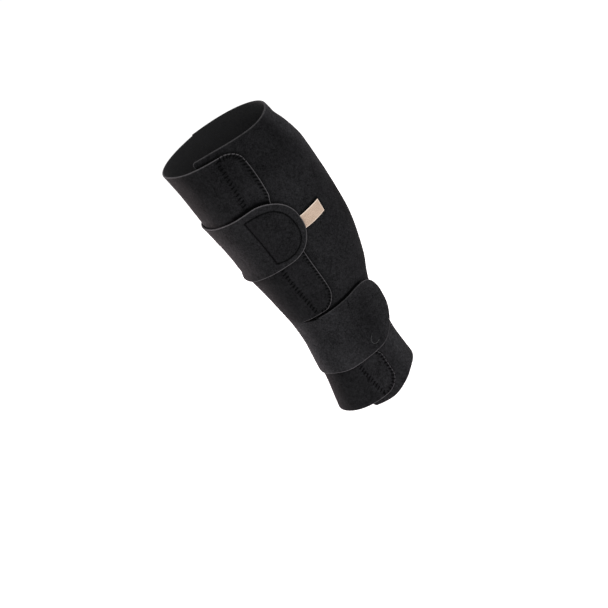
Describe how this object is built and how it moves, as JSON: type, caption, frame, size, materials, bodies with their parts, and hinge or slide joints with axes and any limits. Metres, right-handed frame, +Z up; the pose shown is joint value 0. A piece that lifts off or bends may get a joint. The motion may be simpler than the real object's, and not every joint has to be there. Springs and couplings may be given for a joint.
{
  "type": "calf compression wrap",
  "caption": "Black adjustable calf compression wrap in loop-faced foam cloth, closed round the lower leg by a wide front flap, round-tipped straps and hook tape; hollow for the leg.",
  "frame": {"origin": "on the leg's axis at the widest level of the calf, the middle of the space that the leg fills", "axes": "+Z up the leg towards the knee, -X towards the shin, +X towards the back of the calf, -Y towards the side on which the flap and straps close"},
  "size_m": [0.1442, 0.137, 0.3399],
  "materials": {
    "loop_cloth": "brushed loop pile, matt",
    "hook_tape": "moulded hooks, matt",
    "woven_label": "woven satin"
  },
  "bodies": {
    "root": {"main_panel": "loop_cloth", "front_flap": "loop_cloth", "bottom_tab": "loop_cloth", "upper_strap": "loop_cloth", "label_tab": "woven_label", "flap_hook_strip": "hook_tape", "bottom_tab_hook_strip": "hook_tape", "upper_strap_hook_patch": "hook_tape", "lower_strap_hook_patch": "hook_tape"}
  },
  "joints": []
}
